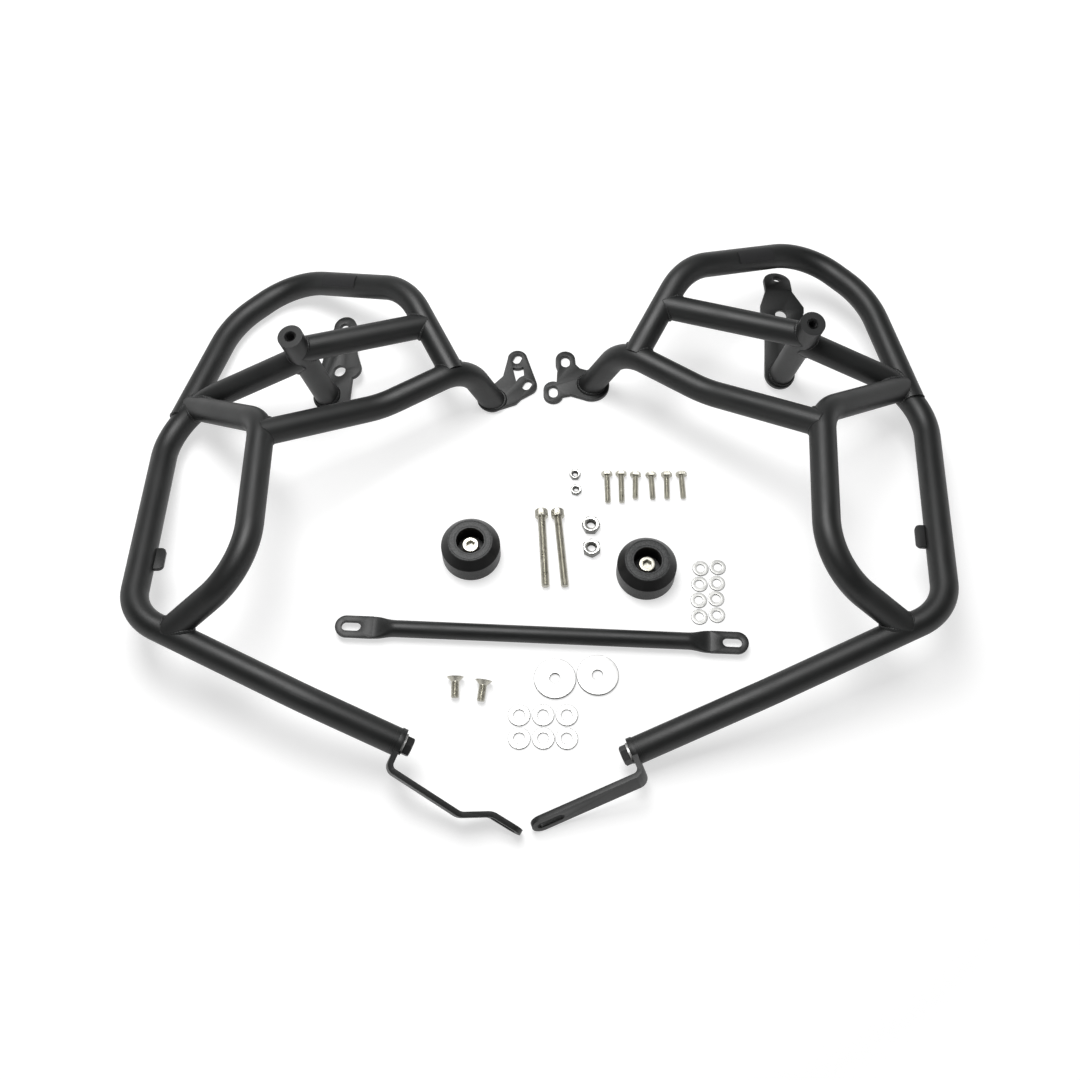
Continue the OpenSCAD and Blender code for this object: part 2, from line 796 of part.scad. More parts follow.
module cross_brace() {
  color(black) translate(kit_shift + [1.15, -105, brace_d / 2]) rotate(-2.62)
    brace_body();
}

puck_spots = [[-68, -15.5, 0], [104, -36.5, 0]];

module left_puck() {
  color(black) translate(kit_shift) puck(puck_spots[0]);
}

module right_puck() {
  color(black) translate(kit_shift) puck(puck_spots[1]);
}

module left_puck_screw() {
  color(steel) translate(kit_shift) puck_screw(puck_spots[0]);
}

module right_puck_screw() {
  color(steel) translate(kit_shift) puck_screw(puck_spots[1]);
}

module socket_screws() {
  color(steel) translate(kit_shift) {
    socket_screw([1.2, 30.2], -87, 10);
    socket_screw([17.3, 30.2], -85, 25);
  }
}

module long_hex_bolts() {
  color(steel) translate(kit_shift) {
    hex_bolt([68.3, 74.8], -89, 30);
    hex_bolt([82.9, 75], -90, 30);
  }
}

module short_hex_bolts() {
  color(steel) translate(kit_shift) {
    hex_bolt([97.7, 74], -92, 25);
    hex_bolt([113.4, 73.6], -88, 25);
    hex_bolt([129.4, 74], -91, 25);
    hex_bolt([144.4, 74.4], -88, 25);
  }
}

module small_nuts() {
  color(steel) translate(kit_shift) {
    nut([36, 73.5, 0], 30, 10, 5, 3);
    nut([36.8, 55.5, 0], 12, 10, 5, 3);
  }
}

module large_nuts() {
  color(steel) translate(kit_shift) {
    nut([51.1, 14.5, 0], 26, 16, 8, 5);
    nut([51.3, -11, 0], 4, 16, 8, 5);
  }
}

small_washer_spots = [[158.6, -31.8, 0], [175.6, -30.6, 0], [156.5, -48.8, 0], [173.7, -47.8, 0],
  [154.8, -66, 0], [171.8, -64.3, 0], [154.5, -83.4, 0], [171.5, -81.5, 0]];

module small_washers() {
  color(pale) translate(kit_shift) for (p = small_washer_spots) washer(p, 16, 8.4, 1.6);
}

large_washer_spots = [[-19.4, -182.6, 0], [2.9, -182.6, 0], [25.1, -182.6, 0],
  [-19.2, -204.9, 0], [3, -204.9, 0], [24.8, -205.1, 0]];

module large_washers() {
  color(pale) translate(kit_shift) for (p = large_washer_spots) washer(p, 21, 10.5, 2);
}

module flat_discs() {
  color(pale) translate(kit_shift) {
    washer([14.2, -146.8, 0], 40, 10, 3);
    washer([54.6, -143.4, 0], 40, 10, 3);
  }
}

module countersunk_screws() {
  color(steel) translate(kit_shift) {
    countersunk_screw([-79.6, -147], -90);
    countersunk_screw([-52.8, -150.5], -98);
  }
}

left_main_tube();
left_inner_tube();
left_rail();
left_hoop();
left_cross_tube();
left_boss();
left_mount_plate();
left_flange_plate();
left_end_plug();
left_drop_bracket();
left_bracket_bolt();
left_bracket_washer();
left_tab();
left_badge();
right_main_tube();
right_inner_tube();
right_rail();
right_hoop();
right_cross_tube();
right_boss();
right_mount_plate();
right_flange_plate();
right_end_plug();
right_drop_bracket();
right_bracket_bolt();
right_bracket_washer();
right_tab();
right_badge();
cross_brace();
left_puck();
left_puck_screw();
right_puck();
right_puck_screw();
socket_screws();
long_hex_bolts();
short_hex_bolts();
small_nuts();
large_nuts();
small_washers();
large_washers();
flat_discs();
countersunk_screws();
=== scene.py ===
import bpy
import bmesh
import math
import numpy as np
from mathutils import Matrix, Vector


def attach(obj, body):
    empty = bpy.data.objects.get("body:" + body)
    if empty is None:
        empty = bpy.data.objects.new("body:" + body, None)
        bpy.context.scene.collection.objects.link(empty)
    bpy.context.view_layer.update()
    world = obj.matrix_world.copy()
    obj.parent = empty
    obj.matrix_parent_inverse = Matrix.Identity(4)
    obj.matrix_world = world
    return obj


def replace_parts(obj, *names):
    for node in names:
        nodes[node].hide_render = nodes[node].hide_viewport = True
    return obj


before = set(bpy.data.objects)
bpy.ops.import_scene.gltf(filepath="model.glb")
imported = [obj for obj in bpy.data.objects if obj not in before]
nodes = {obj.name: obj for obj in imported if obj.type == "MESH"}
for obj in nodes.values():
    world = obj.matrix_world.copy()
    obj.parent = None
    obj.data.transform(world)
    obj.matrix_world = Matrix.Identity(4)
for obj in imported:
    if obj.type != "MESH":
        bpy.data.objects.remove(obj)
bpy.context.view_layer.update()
print("frame loaded,", len(nodes), "nodes")

kit = {
    "shift": np.array([-3.67, -13.49, 0.0]),
    "tubeR": 12.7,                             # guard tube radius, mm
    "bossR": 12.5,                             # boss radius, mm
    "plate": 5.0,                              # plate thickness, mm
}


def unitOf(v):
    # the vector divided by its own length
    v = np.asarray(v, float)
    return v / np.linalg.norm(v)


def turnXYZ(angles):
    # turn about X, then Y, then Z, as one matrix
    a, b, c = np.radians(angles)
    x = np.array([[1, 0, 0], [0, math.cos(a), -math.sin(a)], [0, math.sin(a), math.cos(a)]])
    y = np.array([[math.cos(b), 0, math.sin(b)], [0, 1, 0], [-math.sin(b), 0, math.cos(b)]])
    z = np.array([[math.cos(c), -math.sin(c), 0], [math.sin(c), math.cos(c), 0], [0, 0, 1]])
    return z @ y @ x


def evenAngles(count):
    # the full turn cut into equal steps
    return np.linspace(0, 2 * math.pi, count, endpoint=False)


leftPlace = {"turn": np.eye(3), "shift": kit["shift"]}
rightPlace = {"turn": turnXYZ([5.47, -3.71, -2.37]) @ np.diag([-1.0, 1.0, 1.0]),
              "shift": kit["shift"] + np.array([6.7, 24.3, -10.4])}


def toKit(points, place):
    # a point of a guard's own axes turned and shifted to where the guard lies
    return np.asarray(points, float) @ place["turn"].T + place["shift"]


def putMesh(name, verts, faces, material):
    mesh = bpy.data.meshes.new(name)
    verts = np.asarray(verts, float).reshape(-1, 3) * 0.001
    mesh.from_pydata(verts.tolist(), [], np.asarray(faces).tolist())
    mesh.update()
    piece = bpy.data.objects.new(name, mesh)
    bpy.context.scene.collection.objects.link(piece)
    piece.data.materials.append(material)
    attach(piece, "root")
    return piece


def gridFaces(rows, cols, wrapRows=False, wrapCols=False, start=0):
    # quads between neighbours of a rows by cols grid, open or closed on itself either way
    i = np.arange(rows if wrapRows else rows - 1)
    j = np.arange(cols if wrapCols else cols - 1)
    i, j = np.meshgrid(i, j, indexing="ij")
    k, l = (i + 1) % rows, (j + 1) % cols
    quads = np.stack([i * cols + j, i * cols + l, k * cols + l, k * cols + j], -1)
    return start + quads.reshape(-1, 4)


def sharpEdges(piece, degrees):
    # seams closed, faces turned outwards; edges steeper than the angle shade as corners, the
    # rest as curves
    bm = bmesh.new()
    bm.from_mesh(piece.data)
    bmesh.ops.remove_doubles(bm, verts=bm.verts, dist=1e-6)
    bmesh.ops.recalc_face_normals(bm, faces=bm.faces)
    for e in bm.edges:
        e.smooth = e.calc_face_angle(0.0) < math.radians(degrees)
    for f in bm.faces:
        f.smooth = True
    bm.to_mesh(piece.data)
    bm.free()
    return piece


def axisFrame(z):
    # three square axes in columns: the third along z, the first as near to X as it can be, or to
    # Y where z runs along X
    z = unitOf(z)
    x = np.array([1.0, 0, 0])
    if abs(x @ z) > 0.95:
        x = np.array([0, 1.0, 0])
    x = unitOf(x - (x @ z) * z)
    return np.stack([x, np.cross(z, x), z], 1)


def turned(rows, origin, axes):
    # a grid of radius, angle and height laid round an axis: (r cos a, r sin a, h)
    r, a, h = rows
    local = np.stack([r * np.cos(a), r * np.sin(a), h], -1)
    return local @ axes.T + origin


def ringsAt(r, h, origin, axes):
    # rows of radius at even angles, each row at a height of its own
    a = np.broadcast_to(evenAngles(r.shape[1]), r.shape)
    return turned((r, a, np.repeat(h[:, None], r.shape[1], 1)), origin, axes)


def onFloor(x, y):
    # the spot of a loose piece that stands upright on the floor
    return np.array([x, y, 0.0]) + kit["shift"]


def hexRadius(angle, acrossFlats):
    # distance from the middle to a hexagon's side in that direction
    return acrossFlats / 2 / np.cos((angle + math.pi / 6) % (math.pi / 3) - math.pi / 6)


def zigzag(x):
    # triangle wave from 0 to 1, a quarter steeper than a plain one, so crest and root are flat
    return np.clip(1.25 * np.abs(2 * (x % 1.0) - 1) - 0.125, 0, 1)


def newMaterial(name):
    # an empty shader and the coordinates its patterns read
    material = bpy.data.materials.new(name)
    material.use_nodes = True
    tree = material.node_tree
    shader = tree.nodes["Principled BSDF"]
    coords = tree.nodes.new("ShaderNodeTexCoord")
    return material, tree, shader, coords


def noiseOf(tree, coords, scale, detail, rough=0.5):
    # cloudy pattern on the piece's own coordinates, scale in waves per metre
    noise = tree.nodes.new("ShaderNodeTexNoise")
    noise.inputs["Scale"].default_value = scale
    noise.inputs["Detail"].default_value = detail
    noise.inputs["Roughness"].default_value = rough
    tree.links.new(coords, noise.inputs["Vector"])
    return noise.outputs["Fac"]


def rangeOf(tree, value, low, high, fromLow=0.3, fromHigh=0.7):
    # a 0 to 1 pattern stretched to run from low to high
    node = tree.nodes.new("ShaderNodeMapRange")
    node.inputs["From Min"].default_value = fromLow
    node.inputs["From Max"].default_value = fromHigh
    node.inputs["To Min"].default_value = low
    node.inputs["To Max"].default_value = high
    tree.links.new(value, node.inputs["Value"])
    return node.outputs["Result"]


def blendOf(tree, value, first, second):
    # colour that goes from the first to the second with the value
    mix = tree.nodes.new("ShaderNodeMix")
    mix.data_type = "RGBA"
    mix.inputs["A"].default_value = (*first, 1)
    mix.inputs["B"].default_value = (*second, 1)
    tree.links.new(value, mix.inputs["Factor"])
    return mix.outputs["Result"]


def bumpOf(tree, height, strength, distance, base=None):
    # surface direction tilted by the height pattern, on top of an earlier one
    bump = tree.nodes.new("ShaderNodeBump")
    bump.inputs["Strength"].default_value = strength
    bump.inputs["Distance"].default_value = distance
    tree.links.new(height, bump.inputs["Height"])
    if base is not None:
        tree.links.new(base, bump.inputs["Normal"])
    return bump.outputs["Normal"]


def mathOf(tree, operation, first, second):
    # sum, product or the like of two values, each a socket or a number
    node = tree.nodes.new("ShaderNodeMath")
    node.operation = operation
    for value, socket in zip((first, second), node.inputs):
        if isinstance(value, bpy.types.NodeSocket):
            tree.links.new(value, socket)
        else:
            socket.default_value = value
    return node.outputs[0]


powder = {
    "colour": (0.0050, 0.0056, 0.0055),   # black coat
    "pale": (0.0085, 0.0092, 0.0090),     # where the coat is a touch thinner
    "rough": (0.45, 0.55),                # satin
    "shine": 0.55,                        # strength of the mirror part
    "peel": 420,                          # orange peel, waves per metre
}


coatPattern = {
    "clouds": 24,            # slow clouds, waves per metre
    "grain": 2600,           # fine grain, waves per metre
    "peelHeight": 0.0006,    # metres
    "grainHeight": 0.00015,
    "strength": 0.10,        # of both bumps
}


def powderCoat(name, values):
    # satin coat: slow clouds in colour and gloss, orange peel and a finer grain in the bump
    material, tree, shader, texture = newMaterial(name)
    spot = texture.outputs["Object"]
    p = coatPattern
    clouds = noiseOf(tree, spot, p["clouds"], 4)
    grain = noiseOf(tree, spot, p["grain"], 2)
    peel = noiseOf(tree, spot, values["peel"], 2)
    tone = blendOf(tree, rangeOf(tree, clouds, 0, 1), values["colour"], values["pale"])
    tree.links.new(tone, shader.inputs["Base Color"])
    tree.links.new(rangeOf(tree, clouds, *values["rough"]), shader.inputs["Roughness"])
    normal = bumpOf(tree, peel, p["strength"], p["peelHeight"])
    normal = bumpOf(tree, grain, p["strength"], p["grainHeight"], normal)
    tree.links.new(normal, shader.inputs["Normal"])
    shader.inputs["Specular IOR Level"].default_value = values["shine"]
    return material


zinc = {
    "colour": (0.62, 0.605, 0.53),  # plated steel, a touch warm
    "dark": (0.44, 0.425, 0.365),   # where the plating is duller
    "metal": 0.75,
    "rough": (0.26, 0.38),
}

bright = {
    "colour": (0.80, 0.80, 0.77),   # nuts
    "dark": (0.66, 0.66, 0.62),
    "side": (0.16, 0.16, 0.15),     # painted shade: walls that stand upright are coloured dark
    "metal": 0.8,
    "rough": (0.20, 0.32),
}

pale = {
    "colour": (0.88, 0.88, 0.865),  # discs and large washers
    "dark": (0.80, 0.80, 0.785),
    # painted shade: this side colour makes the upright walls of discs and washers, small ones too
    # through grey, nearly black
    "side": (0.05, 0.05, 0.045),
    "metal": 0.3,
    "rough": (0.30, 0.40),
}

grey = {**pale, "colour": (0.74, 0.74, 0.72), "dark": (0.60, 0.60, 0.58)}   # small washers

platePattern = {
    "clouds": 160,           # waves per metre
    "lines": 3200,           # scratches, waves per metre across them
    "stretch": 0.15,         # the same along them, share of that
    "lineHeight": 0.00008,   # metres
    "strength": 0.15,
    "level": (0.5, 0.99),    # upward part of the normal between which the painted shade of the walls turns into the face's tone
}


def platedSteel(name, values):
    # bare plating: cloudy tone and gloss, scratches from noise stretched along Y and, where a
    # side colour is given, upright walls in it as painted shade and level faces in the tone
    material, tree, shader, texture = newMaterial(name)
    spot = texture.outputs["Object"]
    p = platePattern
    clouds = noiseOf(tree, spot, p["clouds"], 4)
    stretch = tree.nodes.new("ShaderNodeMapping")
    stretch.inputs["Scale"].default_value = (1.0, p["stretch"], 1.0)
    tree.links.new(spot, stretch.inputs["Vector"])
    lines = noiseOf(tree, stretch.outputs["Vector"], p["lines"], 2)
    tone = blendOf(tree, rangeOf(tree, clouds, 0, 1), values["dark"], values["colour"])
    # painted shade: walls that stand upright take the dark side colour, by how far the normal
    # points up
    if "side" in values:
        facing = tree.nodes.new("ShaderNodeNewGeometry")
        parts = tree.nodes.new("ShaderNodeSeparateXYZ")
        tree.links.new(facing.outputs["Normal"], parts.inputs[0])
        mix = tree.nodes.new("ShaderNodeMix")
        mix.data_type = "RGBA"
        mix.inputs["A"].default_value = (*values["side"], 1)
        tree.links.new(tone, mix.inputs["B"])
        level = rangeOf(tree, parts.outputs["Z"], 0, 1, *p["level"])
        tree.links.new(level, mix.inputs["Factor"])
        tone = mix.outputs["Result"]
    tree.links.new(tone, shader.inputs["Base Color"])
    tree.links.new(rangeOf(tree, clouds, *values["rough"]), shader.inputs["Roughness"])
    normal = bumpOf(tree, lines, p["strength"], p["lineHeight"])
    tree.links.new(normal, shader.inputs["Normal"])
    shader.inputs["Metallic"].default_value = values["metal"]
    return material


blackOxide = {
    "colour": (0.016, 0.016, 0.016),   # bracket bolts and threads
    "pale": (0.03, 0.03, 0.03),
    "rough": (0.32, 0.42),
    "shine": 0.5,
    "peel": 900,
}

badgePad = {
    "colour": (0.02, 0.02, 0.021),     # bare pad
    "pale": (0.024, 0.024, 0.025),
    "rough": (0.5, 0.56),
    "shine": 0.3,
    "peel": 1500,
}

nylon = {
    "colour": (0.006, 0.006, 0.006),
    "face": (0.070, 0.072, 0.072),   # dust on the flat face
    "faceFrom": (0.9, 0.2),          # depth below the top at which it starts and is full, mm
    "rough": (0.36, 0.46),
    "shine": 0.24,
    "lathe": 2400,                   # turning lines, waves per metre
    "latheBump": (0.12, 0.00006),    # strength, and height in metres
    "dust": 700,                     # waves per metre
    "dustBump": (0.08, 0.0001),
}


def turnedNylon(name, centre, values, topHeight):
    # black turned plastic: lines by the sine of distance from the axis plus height, and a dusty
    # grey on the flat face
    material, tree, shader, texture = newMaterial(name)
    spot = tree.nodes.new("ShaderNodeMapping")
    spot.inputs["Location"].default_value = (-centre[0] * 0.001, -centre[1] * 0.001, 0)
    tree.links.new(texture.outputs["Object"], spot.inputs["Vector"])
    parts = tree.nodes.new("ShaderNodeSeparateXYZ")
    tree.links.new(spot.outputs["Vector"], parts.inputs[0])
    flat = tree.nodes.new("ShaderNodeCombineXYZ")
    tree.links.new(parts.outputs["X"], flat.inputs["X"])
    tree.links.new(parts.outputs["Y"], flat.inputs["Y"])
    far = tree.nodes.new("ShaderNodeVectorMath")
    far.operation = "LENGTH"
    tree.links.new(flat.outputs[0], far.inputs[0])
    total = mathOf(tree, "ADD", far.outputs["Value"], parts.outputs["Z"])
    wave = mathOf(tree, "MULTIPLY", total, values["lathe"] * 2 * math.pi)
    sine = mathOf(tree, "SINE", wave, 0.0)
    dust = noiseOf(tree, spot.outputs["Vector"], values["dust"], 4, 0.7)
    low, high = (topHeight * 0.001 - k * 0.001 for k in values["faceFrom"])
    onTop = rangeOf(tree, parts.outputs["Z"], 0, 1, low, high)
    amount = mathOf(tree, "MULTIPLY", onTop, rangeOf(tree, dust, 0.2, 1.0, 0.35, 0.65))
    tone = blendOf(tree, amount, values["colour"], values["face"])
    tree.links.new(tone, shader.inputs["Base Color"])
    tree.links.new(rangeOf(tree, dust, *values["rough"]), shader.inputs["Roughness"])
    normal = bumpOf(tree, dust, *values["dustBump"], bumpOf(tree, sine, *values["latheBump"]))
    tree.links.new(normal, shader.inputs["Normal"])
    shader.inputs["Specular IOR Level"].default_value = values["shine"]
    return material


blackCoat = powderCoat("satinBlackCoat", powder)
boltBlack = powderCoat("blackOxideSteel", blackOxide)
labelPad = powderCoat("labelPad", badgePad)
zincPlate = platedSteel("zincPlate", zinc)
palePlate = platedSteel("palePlate", pale)
greyPlate = platedSteel("greyPlate", grey)
brightPlate = platedSteel("brightPlate", bright)

for name, node in nodes.items():
    look = blackCoat
    if name.endswith("badge"):
        look = labelPad
    elif name.endswith("bracket_bolt"):
        look = boltBlack
    elif "washer" in name or name == "flat_discs":
        look = palePlate
    elif "screw" in name or "nuts" in name or "hex_bolts" in name:
        look = zincPlate
    node.data.materials.clear()
    node.data.materials.append(look)
print("materials made")

softEdge = {
    "width": 0.00045,   # edge radius, metres
    "angle": 34,        # only corners sharper than this, degrees
    "names": ["left_mount_plate", "right_mount_plate", "left_flange_plate", "right_flange_plate",
              "left_drop_bracket", "right_drop_bracket", "left_tab", "right_tab"],
}


def softenedCopy(name, values, material):
    # the CAD node's own surface, merged, with each sharp edge rounded off
    source = nodes[name]
    piece = bpy.data.objects.new(name + "_soft", source.data.copy())
    bpy.context.scene.collection.objects.link(piece)
    bm = bmesh.new()
    bm.from_mesh(piece.data)
    bmesh.ops.remove_doubles(bm, verts=bm.verts, dist=2e-6)
    bmesh.ops.dissolve_limit(bm, angle_limit=math.radians(0.5), verts=bm.verts, edges=bm.edges)
    for f in bm.faces:
        f.smooth = True
    bm.to_mesh(piece.data)
    bm.free()
    bevel = piece.modifiers.new("roundedEdges", "BEVEL")
    bevel.width = values["width"]
    bevel.segments = 3
    bevel.limit_method = "ANGLE"
    bevel.angle_limit = math.radians(values["angle"])
    bevel.harden_normals = True
    piece.data.materials.clear()
    piece.data.materials.append(material)
    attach(piece, "root")
    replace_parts(piece, name)


for name in softEdge["names"]:
    softenedCopy(name, softEdge, blackCoat)
print("plates softened")

guard = {                        # corners of the tubes' centre lines in a guard's own axes, mm
    "runKink": [-209, -188.5, 68], "lowCorner": [-371.5, -110, 71.5],
    "highCorner": [-382, 139, 12.7],
    "inner": [[-335, -127.5, 70.5], [-259, -87, 123], [-263.5, 74, 105.5],
              [-360, 140.5, 24.5]],
    "rail": [[-263.2, 59, 107.4], [-157, 114, 68.3], [-75.5, 163, 65]],
    "hoop": [[-368, 125, 25], [-332, 254.3, 12.7], [-268.6, 310.7, 14], [-138, 250, 79.5],
             [-88, 155.3, 65.4]],
    "crossEnd": [-116.3, 208.9, 73.4],
}
bends = {"main": [120, 45, 60], "inner": [65, 40], "rail": [100, 40], "hoop": [100, 60, 60]}   # mm
leftOwn = {"runEnd": [-126.6, -220.8, 44.7], "mainEnd": [-235.2, 158.9, 88.2],
           "crossStart": [-237.3, 158.4, 100.8], "bossTop": [-240.8, 156.2, 126.6],
           "bossFoot": [-224.3, 165.5, 9.2], "railEnd": [-50.5, 162.5, 5]}
rightOwn = {"runEnd": [-92.3, -240.1, 52.5], "mainEnd": [-254, 170.4, 67.4],
            "crossStart": [-256.1, 169.9, 80], "bossTop": [-259.6, 167.7, 105.8],
            "bossFoot": [-243.1, 177, -11.6], "railEnd": [-42.4, 160.2, -2.1]}
bead = {
    "radius": 2.4,      # half the bead's width, mm
    "flat": 0.85,       # its height over its width
    "ripple": 0.2,      # depth of the ripples, share of the radius
    "pitch": 2.3,       # from ripple to ripple, mm
    "wander": 0.06,     # slow change of width round the joint, share of the radius
    "swells": 3,        # how many times it comes and goes
    "around": 300,      # points round a joint
    "across": 12,       # points round the bead
}


def roundedLine(corners, radii, step=1.5):
    # straight runs joined by arcs: each corner is cut back by r tan(half turn) and an arc put there
    corners = [np.asarray(c, float) for c in corners]
    pieces, here = [], corners[0]
    for a, b, c, r in zip(corners[:-2], corners[1:-1], corners[2:], radii):
        u, w = unitOf(b - a), unitOf(c - b)
        turn = math.acos(np.clip(u @ w, -1, 1))
        cut = r * math.tan(turn / 2)
        start, m = b - u * cut, unitOf(w - (w @ u) * u)
        n = max(2, int(np.linalg.norm(start - here) / step))
        pieces.append(here + (start - here) * np.linspace(0, 1, n, endpoint=False)[:, None])
        a = np.linspace(0, turn, max(3, int(r * turn / step)), endpoint=False)[:, None]
        pieces.append(start + m * r * (1 - np.cos(a)) + u * r * np.sin(a))
        here = b + w * cut
    n = max(2, int(np.linalg.norm(corners[-1] - here) / step))
    pieces.append(here + (corners[-1] - here) * np.linspace(0, 1, n)[:, None])
    return np.concatenate(pieces)


def distanceTo(points, line):
    # shortest distance from each point to a chain of short straight pieces
    a, d = line[:-1], line[1:] - line[:-1]
    t = np.einsum("...k,mk->...m", points, d) - np.einsum("mk,mk->m", a, d)
    t = np.clip(t / np.einsum("mk,mk->m", d, d), 0, 1)
    near = a + t[..., None] * d
    return np.linalg.norm(points[..., None, :] - near, axis=-1).min(-1)


def tubeRim(start, axes, tubeR, count=150):
    # points of the tube's end circle: start + R (cos a first axis + sin a second axis)
    a = evenAngles(count)[:, None]
    return start + tubeR * (np.cos(a) * axes[:, 0] + np.sin(a) * axes[:, 1])


def jointRing(start, along, host, hostR, tubeR, reach=70, step=0.75):
    # where a tube's surface leaves its host: on each line of the tube, the last point that is
    # one host radius away from the host's centre line; the fourth number is 1 in a square corner
    # and small where the two surfaces run into each other level
    axes = axisFrame(along)
    rim = tubeRim(start, axes, tubeR)
    t = np.arange(0, reach, step)
    points = rim[:, None, :] + t[None, :, None] * axes[:, 2]
    away = distanceTo(points, host) - hostR
    inside = away < 0
    last = np.where(inside.any(1), len(t) - 1 - inside[:, ::-1].argmax(1), 0)
    last = np.minimum(last, len(t) - 2)
    row = np.arange(len(rim))
    d0, d1 = away[row, last], away[row, last + 1]
    share = np.where(inside.any(1), np.clip(d0 / (d0 - d1 + 1e-9), 0, 1), 0)
    ring = rim + (t[last] + share * step)[:, None] * axes[:, 2]
    outward = ring - host[np.linalg.norm(ring[:, None] - host, axis=2).argmin(1)]
    outward /= np.linalg.norm(outward, axis=1)[:, None]
    level = (outward * (rim - start) / tubeR).sum(1)
    return np.column_stack([ring, np.clip(1.25 * (1 - level), 0.15, 1)])


def planeRing(start, along, foot, normal, tubeR):
    # where a tube's surface meets a flat plate: each line of the tube cut at the plate's height
    axes = axisFrame(along)
    rim = tubeRim(start, axes, tubeR)
    t = ((foot - rim) @ normal) / (axes[:, 2] @ normal)
    return np.column_stack([rim + t[:, None] * axes[:, 2], np.ones(len(rim))])


def beadSurface(ring, values, seed):
    # an oval carried round the ring; its size falls by ripple t^2 over each ripple and jumps back
    ring, corner = ring[:, :3], ring[:, 3]
    ahead = np.roll(ring, -1, 0) - np.roll(ring, 1, 0)
    ahead /= np.linalg.norm(ahead, axis=1)[:, None]
    out = ring - ring.mean(0)
    out -= (out * ahead).sum(1)[:, None] * ahead
    out /= np.linalg.norm(out, axis=1)[:, None]
    side = np.cross(ahead, out)
    far = np.concatenate([[0], np.cumsum(np.linalg.norm(np.diff(ring, axis=0), axis=1))])
    count = max(8, round((far[-1] + np.linalg.norm(ring[0] - ring[-1])) / values["pitch"]))
    phase = (far / (far[-1] + 1e-9) * count) % 1.0
    turns = far / far[-1] * 2 * math.pi * values["swells"]
    wander = values["wander"] * np.sin(turns + seed)
    size = values["radius"] * corner * (1 + wander - values["ripple"] * phase ** 2)
    a = evenAngles(values["across"])[None, :, None]
    oval = np.cos(a) * out[:, None, :] * values["flat"] + np.sin(a) * side[:, None, :]
    return ring[:, None, :] + size[:, None, None] * oval


def resampled(ring, count):
    # the same closed line with its points evenly spaced
    closed = np.vstack([ring, ring[:1]])
    far = np.concatenate([[0], np.cumsum(np.linalg.norm(np.diff(closed[:, :3], axis=0), axis=1))])
    at = np.linspace(0, far[-1], count, endpoint=False)
    return np.stack([np.interp(at, far, closed[:, k]) for k in range(4)], 1)


def beadPiece(name, ring, seed):
    # one bead, none of it below the floor
    grid = beadSurface(resampled(ring, bead["around"]), bead, seed)
    grid[..., 2] = np.maximum(grid[..., 2], 0)
    faces = gridFaces(*grid.shape[:2], True, True)
    sharpEdges(putMesh(name, grid, faces, blackCoat), 60)


def weldsOf(side, own, place):
    # one bead for each joint of a guard; the length of the joint's name starts its wander
    tubeR, bossR = kit["tubeR"], kit["bossR"]
    main = roundedLine([own["runEnd"], guard["runKink"], guard["lowCorner"], guard["highCorner"],
                        own["mainEnd"]], bends["main"])
    inner = roundedLine(guard["inner"], bends["inner"])
    rail = roundedLine(guard["rail"] + [own["railEnd"]], bends["rail"])
    hoop = roundedLine(guard["hoop"], bends["hoop"])
    top, foot = np.array(own["bossTop"]), np.array(own["bossFoot"])
    boss = foot + (top - foot) * np.linspace(0, 1, 60)[:, None]
    crossStart, crossEnd = np.array(own["crossStart"]), np.array(guard["crossEnd"])
    joints = {
        "inner_foot": jointRing(inner[0], inner[3] - inner[0], main, tubeR, tubeR),
        "inner_top": jointRing(inner[-1], inner[-4] - inner[-1], main, tubeR, tubeR),
        "rail_start": jointRing(rail[0], rail[3] - rail[0], inner, tubeR, tubeR),
        "hoop_start": jointRing(hoop[0], hoop[3] - hoop[0], main, tubeR, tubeR),
        "hoop_end": jointRing(hoop[-1], hoop[-4] - hoop[-1], rail, tubeR, tubeR),
        "main_end": jointRing(main[-1], main[-4] - main[-1], boss, bossR, tubeR),
        "cross_start": jointRing(crossStart, crossEnd - crossStart, boss, bossR, tubeR),
        "cross_end": jointRing(crossEnd, crossStart - crossEnd, hoop, tubeR, tubeR),
        "boss_foot": planeRing(foot, top - foot, foot, unitOf(top - foot), bossR),
    }
    for k, ring in joints.items():
        ring[:, :3] = toKit(ring[:, :3], place)
        beadPiece(side + "_weld_" + k, ring, len(k))
    down = toKit(rail[-1] - rail[-4], place) - place["shift"]
    plateTop, up = np.array([0, 0, kit["plate"]]), np.array([0, 0, 1.0])
    low = planeRing(toKit(rail[-1], place), down, plateTop, up, tubeR)
    beadPiece(side + "_weld_flange", low, 3)


weldsOf("left", leftOwn, leftPlace)
weldsOf("right", rightOwn, rightPlace)
print("weld beads laid")


def gathered(name, grids, material, degrees=35):
    # several grids of points, each with its wraps, become one piece
    verts, faces, start = [], [], 0
    for grid, wrapRows, wrapCols in grids:
        rows, cols = grid.shape[:2]
        verts.append(grid.reshape(-1, 3))
        faces.append(gridFaces(rows, cols, wrapRows, wrapCols, start))
        start += rows * cols
    piece = putMesh(name, np.concatenate(verts), np.concatenate(faces), material)
    return sharpEdges(piece, degrees)


def roundedProfile(corners, radii, steps=5):
    # a flat outline of radius and height; each corner is cut back by r tan(half turn) and an
    # arc put there
    corners = [np.array(c, float) for c in corners]
    out = [corners[0][None]]
    for a, b, c, r in zip(corners[:-2], corners[1:-1], corners[2:], radii):
        u, w = unitOf(b - a), unitOf(c - b)
        turn = math.acos(np.clip(u @ w, -1, 1))
        cut = r * math.tan(turn / 2)
        m = unitOf(w - (w @ u) * u)
        t = np.linspace(0, turn, steps + 1)[:, None]
        out.append(b - u * cut + m * r * (1 - np.cos(t)) + u * r * np.sin(t))
    out.append(corners[-1][None])
    return np.concatenate(out)


def lathed(profile, cols, origin):
    # radius and height of the outline repeated at every angle round an upright axis
    r = np.repeat(profile[:, 0][:, None], cols, 1)
    return ringsAt(r, profile[:, 1], origin, np.eye(3))


